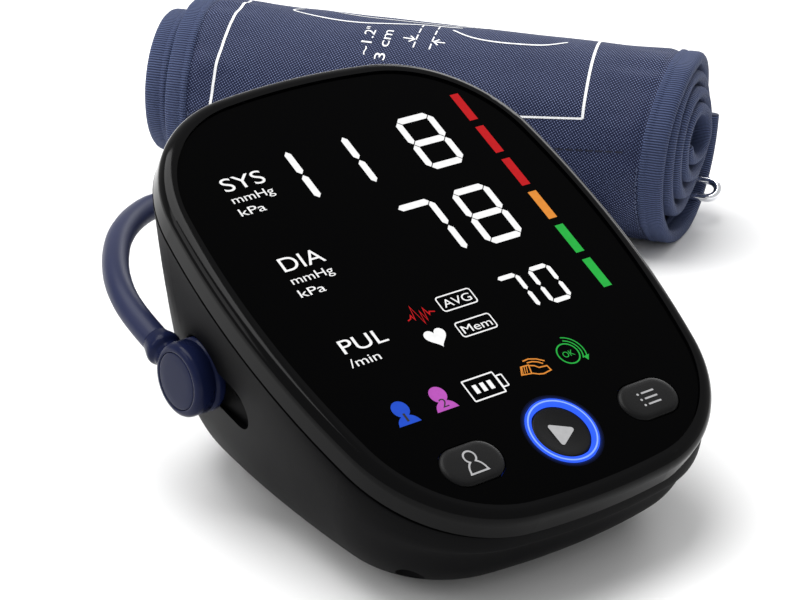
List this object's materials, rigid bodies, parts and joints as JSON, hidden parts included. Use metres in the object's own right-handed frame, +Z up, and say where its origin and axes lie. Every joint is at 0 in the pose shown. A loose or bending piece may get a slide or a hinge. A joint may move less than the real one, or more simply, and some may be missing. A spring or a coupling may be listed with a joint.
{
  "type": "blood pressure monitor set",
  "caption": "Upper-arm blood pressure monitor: wedge console with tilted glossy face, navy air hose with elbow plug, and rolled arm cuff with wire loop.",
  "frame": {"origin": "on the floor, under the middle of the box round the console and the rolled cuff, the hose left out", "axes": "+Z up, +X to the console's right as its user sees it, +Y to the console's back"},
  "size_m": [0.2249, 0.2632, 0.0806],
  "materials": {
    "shell_plastic": "fine matt",
    "gloss_black": "gloss",
    "light_ring": "diffusing",
    "display": "satin",
    "inner_plastic": "moulded",
    "circuit_board": "satin",
    "switch_black": "matt",
    "steel": "satin",
    "rubber": "matt",
    "cell_jacket": "gloss",
    "pump_plastic": "moulded",
    "navy_plastic": "satin",
    "navy_hose": "satin",
    "navy_cloth": "woven",
    "binding": "ribbed",
    "bladder": "matt",
    "bright_wire": "polished"
  },
  "bodies": {
    "console": {"rear_shell": "shell_plastic", "front_frame": "gloss_black", "front_lens": "gloss_black", "start_light_ring": "light_ring", "display_module": "display", "display_carrier": "inner_plastic", "main_board": "circuit_board", "tact_switches": "switch_black", "board_screws": "steel", "housing_screws": "steel", "rubber_feet": "rubber", "batteries": "cell_jacket", "battery_contacts": "steel", "pump_head": "pump_plastic", "pump_motor": "steel", "pump_sleeve": "rubber", "exhaust_valve": "pump_plastic", "pressure_sensor": "switch_black", "air_socket": "inner_plastic", "air_manifold": "inner_plastic", "inner_tubes": "rubber"},
    "battery_cover": {"battery_cover": "shell_plastic"},
    "start_button": {"start_button": "gloss_black"},
    "user_button": {"user_button": "gloss_black"},
    "menu_button": {"menu_button": "gloss_black"},
    "plug": {"plug_body": "navy_plastic", "plug_cap": "navy_plastic", "plug_o_ring": "rubber", "hose_collar": "navy_hose", "air_hose": "navy_hose", "hose_coil": "navy_hose", "hose_tail": "navy_hose", "hose_tie": "navy_hose", "hose_port": "navy_plastic", "outer_cloth": "navy_cloth", "inner_cloth": "navy_cloth", "air_bladder": "bladder", "edge_binding_right": "binding", "edge_binding_left": "binding", "hook_patch": "navy_cloth", "loop_patch": "navy_cloth", "ring_strap": "navy_cloth"},
    "wire_ring": {"wire_ring": "bright_wire"}
  },
  "joints": [
    {"name": "start_button_press", "type": "slide", "parent": "console", "child": "start_button", "axis": [0, 0.4571, -0.8894], "range_m": [0, 0.0008], "stiffness_N_per_m": 800, "springref_m": -0.0005},
    {"name": "user_button_press", "type": "slide", "parent": "console", "child": "user_button", "axis": [0, 0.4571, -0.8894], "range_m": [0, 0.0008], "stiffness_N_per_m": 800, "springref_m": -0.0005},
    {"name": "menu_button_press", "type": "slide", "parent": "console", "child": "menu_button", "axis": [0, 0.4571, -0.8894], "range_m": [0, 0.0008], "stiffness_N_per_m": 800, "springref_m": -0.0005},
    {"name": "battery_cover_hinge", "type": "hinge", "parent": "console", "child": "battery_cover", "pos_m": [-0.0591, -0.09905, 0.002], "axis": [-1, 0, 0], "range_deg": [0, 75]},
    {"name": "plug_pull", "type": "slide", "parent": "console", "child": "plug", "axis": [-1, 0, 0], "range_m": [0, 0.014]},
    {"name": "wire_ring_slide", "type": "slide", "parent": "plug", "child": "wire_ring", "axis": [0.5878, -0.809, 0], "range_m": [-0.003, 0.003]}
  ]
}
